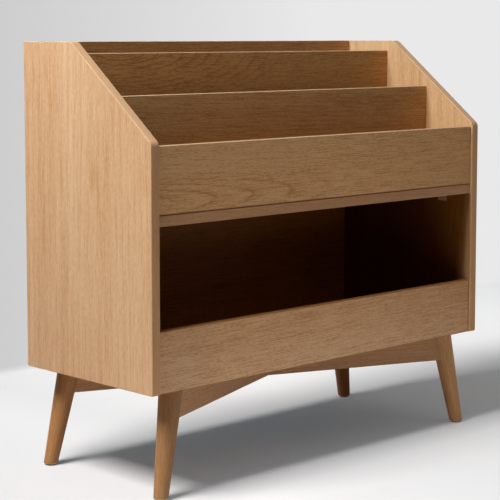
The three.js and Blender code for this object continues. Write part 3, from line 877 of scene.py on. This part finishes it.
# Stage: a wide pale floor, and a wall that sweeps up from it behind the case.
stageShape = {
    "wallDistance": 0.92,
    "sweep": 0.04,
    "sweepStart": 0.35,       # angle that starts just clear of the floor, so no line shows from behind
    "sweepSteps": 13,
    "blendTop": 0.02,         # height where the floor has turned into the wall
    "reach": 9.0,
    "edges": 5,
    "wallHeight": 3.0,
    # floor as the camera sees it, under and beside the case, with painted light: the lift is a glow that keeps its
    # shadow neutral
    "floorUnder": (0.8, 0.772, 0.76, 1.0),
    "floorBeside": (0.762, 0.757, 0.754, 1.0),
    "liftUnder": (0.032, 0.067, 0.087, 1.0),
    "liftBeside": (0.085, 0.09, 0.093, 1.0),
    "besideX": (0.1, 0.65),
    "behindX": (-0.1, 0.35),  # painted light: lifted more behind the case and in the far corner
    "behindY": (0.17, 0.36),
    "behindLift": (0.27, 0.275, 0.28, 1.0),
    "cornerX": (0.8, 1.6),
    "cornerY": (0.2, 0.4),
    "cornerLift": (0.4, 0.405, 0.41, 1.0),
    "liftBefore": 0.09,       # painted light: a low ridge of glow in front of the case, up to here and down again
    "beforeUp": (-0.4, -0.27),
    "beforeDown": (-0.14, -0.26),
    "dimLeft": 0.83,          # the floor is shown dimmer where it comes near the lamp
    "dimX": (-0.6, -0.25),
    "farMiddle": (0.7, 0.1, 0.0),   # far from here the floor fades into the background
    "farFade": (1.5, 2.6),
    "farColour": (0.8, 0.8, 0.8, 1.0),
    # and as it lights the object: pale in front of the case, dull further off
    "bounceNear": 0.77,
    "bounceFar": 0.05,
    "bounceMiddle": (0.35, -0.78, 0.0),
    "bounceFade": (1.0, 1.5),
    # the wall as the camera sees it glows, brighter to the right: painted light
    "wallLeft": 0.605,
    "wallRight": 0.815,
    "wallX": (-0.05, 1.1),
    "wallBounce": (0.2, 0.2, 0.2, 1.0),
}


# point(row, step) = step's place on the profile, carried along the wall to row
def sweepSheet(name, along, forward, upward, material):
    x, y = np.meshgrid(along, forward, indexing="ij")
    z = np.broadcast_to(upward, x.shape)
    rows, steps = x.shape
    row, step = np.meshgrid(np.arange(rows - 1), np.arange(steps - 1), indexing="ij")
    first = row * steps + step
    faces = np.stack([first, first + steps, first + steps + 1, first + 1], -1).reshape(-1, 4)
    mesh = bpy.data.meshes.new(name)
    mesh.from_pydata(np.stack([x, y, z], -1).reshape(-1, 3).tolist(), [], faces.tolist())
    mesh.polygons.foreach_set("use_smooth", np.ones(len(faces), bool))
    mesh.materials.append(material)
    addObject(name, mesh)


# 1 for a ray that shows the background: straight to the camera, or by way of a reflection or glass
def seenRay(tree):
    path = put(tree, "LightPath").outputs
    seen = calc(tree, "MAXIMUM", path["Is Camera Ray"], path["Is Glossy Ray"])
    return calc(tree, "MAXIMUM", seen, path["Is Transmission Ray"])


def floorShader(tree, seen, place):
    part = axesOf(tree, place)

    def over(axis, key, low=0.0, high=1.0):
        return spread(tree, part[axis], stageShape[key], low, high)

    away = distance(tree, place, stageShape["bounceMiddle"])
    bounce = spread(tree, away, stageShape["bounceFade"], stageShape["bounceNear"], stageShape["bounceFar"])
    bounceColour = put(tree, "CombineColor", {0: bounce, 1: bounce, 2: bounce}).outputs[0]
    beside = over("X", "besideX")
    seenColour = blendColour(tree, beside, stageShape["floorUnder"], stageShape["floorBeside"])
    seenColour = blendColour(tree, 1.0, seenColour, over("X", "dimX", stageShape["dimLeft"]), "MULTIPLY")
    lift = blendColour(tree, beside, stageShape["liftUnder"], stageShape["liftBeside"])
    for area in ("behind", "corner"):
        share = calc(tree, "MULTIPLY", over("X", area + "X"), over("Y", area + "Y"))
        lift = blendColour(tree, share, lift, stageShape[area + "Lift"])
    before = over("Y", "beforeDown", high=stageShape["liftBefore"])
    before = calc(tree, "MULTIPLY", before, over("Y", "beforeUp"))
    lift = put(tree, "VectorMath", {0: lift, 1: before}).outputs[0]
    far = spread(tree, distance(tree, place, stageShape["farMiddle"]), stageShape["farFade"])
    lift = blendColour(tree, far, lift, stageShape["farColour"])
    seenColour = blendColour(tree, far, seenColour, (0.0, 0.0, 0.0, 1.0))
    dull = put(tree, "BsdfDiffuse", {0: blendColour(tree, seen, bounceColour, seenColour)}).outputs[0]
    glow = put(tree, "Emission", {0: lift, 1: seen}).outputs[0]
    return put(tree, "AddShader", {0: dull, 1: glow}).outputs[0]


def wallShader(tree, seen, place):
    tone = spread(tree, axesOf(tree, place)["X"], stageShape["wallX"], stageShape["wallLeft"],
                  stageShape["wallRight"])
    glow = put(tree, "Emission", {1: tone}).outputs[0]
    dull = put(tree, "BsdfDiffuse", {0: stageShape["wallBounce"]}).outputs[0]
    return put(tree, "MixShader", {0: seen, 1: dull, 2: glow}).outputs[0]


def stageMaterial(name):
    material = bpy.data.materials.new(name)
    material.use_nodes = True
    tree = material.node_tree
    tree.nodes.clear()
    return material, tree, seenRay(tree), put(tree, "TexCoord").outputs["Object"]


# the stage is clear from behind, so it never hides the object
def finishStage(tree, front):
    behind = put(tree, "NewGeometry").outputs["Backfacing"]
    clear = put(tree, "BsdfTransparent").outputs[0]
    shader = put(tree, "MixShader", {0: behind, 1: front, 2: clear}).outputs[0]
    tree.links.new(shader, put(tree, "OutputMaterial").inputs[0])


# The wall's foot is a quarter circle: forward = wall - radius + radius * sine, upward = radius - radius * cosine.
def makeStage():
    reach, radius, wide = stageShape["wallDistance"], stageShape["sweep"], stageShape["reach"]
    floorFinish, tree, seen, place = stageMaterial("paleFloor")
    finishStage(tree, floorShader(tree, seen, place))
    edges = np.linspace(-wide, wide, stageShape["edges"])
    sweepSheet("studio_floor", edges, edges, np.zeros(len(edges)), floorFinish)
    wallFinish, tree, seen, place = stageMaterial("paleSweep")
    risen = spread(tree, axesOf(tree, place)["Z"], (0.0, stageShape["blendTop"]),
                   interpolation_type="SMOOTHSTEP")
    wires = {0: risen, 1: floorShader(tree, seen, place), 2: wallShader(tree, seen, place)}
    finishStage(tree, put(tree, "MixShader", wires).outputs[0])
    quarter = np.linspace(stageShape["sweepStart"], np.pi / 2, stageShape["sweepSteps"])
    forward = np.r_[reach - radius + radius * np.sin(quarter), reach]
    upward = np.r_[radius * (1 - np.cos(quarter)), stageShape["wallHeight"]]
    sweepSheet("studio_wall", edges, forward, upward, wallFinish)


makeStage()

# Light: one large soft lamp high on the object's left and a weak sky
lightShape = {
    "aim": (0.0, 0.0, 0.45),
    "azimuth": -2.0,          # degrees in front of straight left
    "elevation": 53.0,
    "distance": 4.0,
    "size": 1.5,
    "power": 198.0,
    "skyTop": 0.42,           # the sky lights from above and is dark round the horizon
    "skyRise": (0.35, 0.95),
    "skySeen": 0.8,
}


def makeLights():
    turn, rise = math.radians(lightShape["azimuth"]), math.radians(lightShape["elevation"])
    towards = np.array([-math.cos(rise) * math.cos(turn), -math.cos(rise) * math.sin(turn), math.sin(rise)])
    lamp = bpy.data.lights.new("soft_key", "AREA")
    lamp.shape = "SQUARE"
    lamp.size = lightShape["size"]
    lamp.energy = lightShape["power"]
    key = addObject("soft_key", lamp)
    key.location = np.array(lightShape["aim"]) + towards * lightShape["distance"]
    key.rotation_euler = (math.radians(90) - rise, 0.0, -math.radians(90) + turn)
    key.visible_camera = False
    world = bpy.data.worlds.new("studio_sky")
    world.use_nodes = True
    scene.world = world
    tree = world.node_tree
    seen = seenRay(tree)
    upward = axesOf(tree, put(tree, "TexCoord").outputs["Generated"])["Z"]
    sky = spread(tree, upward, lightShape["skyRise"], high=lightShape["skyTop"])
    unseen = calc(tree, "MULTIPLY", calc(tree, "SUBTRACT", 1.0, seen), sky)
    strength = calc(tree, "MULTIPLY_ADD", seen, lightShape["skySeen"], unseen)
    background = tree.nodes["Background"]
    background.inputs["Color"].default_value = (1.0, 1.0, 1.0, 1.0)
    tree.links.new(strength, background.inputs["Strength"])


makeLights()

# Camera, fitted to the corners of the case and the feet
cameraPlace = {
    "location": (-2.227494, -2.283837, 0.835905),
    "pitch": -5.621,
    "yaw": -43.769,
    "focal": 1577.465,        # in pixels of a picture this wide
    "pictureWidth": 500,
    "sensor": 36.0,
    "shiftY": -0.12,
}


def makeCamera():
    lens = bpy.data.cameras.new("photo_camera")
    lens.sensor_width = cameraPlace["sensor"]
    lens.lens = cameraPlace["focal"] / cameraPlace["pictureWidth"] * cameraPlace["sensor"]
    lens.shift_y = cameraPlace["shiftY"]
    camera = addObject("photo_camera", lens)
    camera.location = cameraPlace["location"]
    camera.rotation_euler = (math.radians(90 + cameraPlace["pitch"]), 0.0, math.radians(cameraPlace["yaw"]))
    scene.camera = camera


makeCamera()
scene.view_settings.view_transform = "Standard"
print("stage, light and camera made")
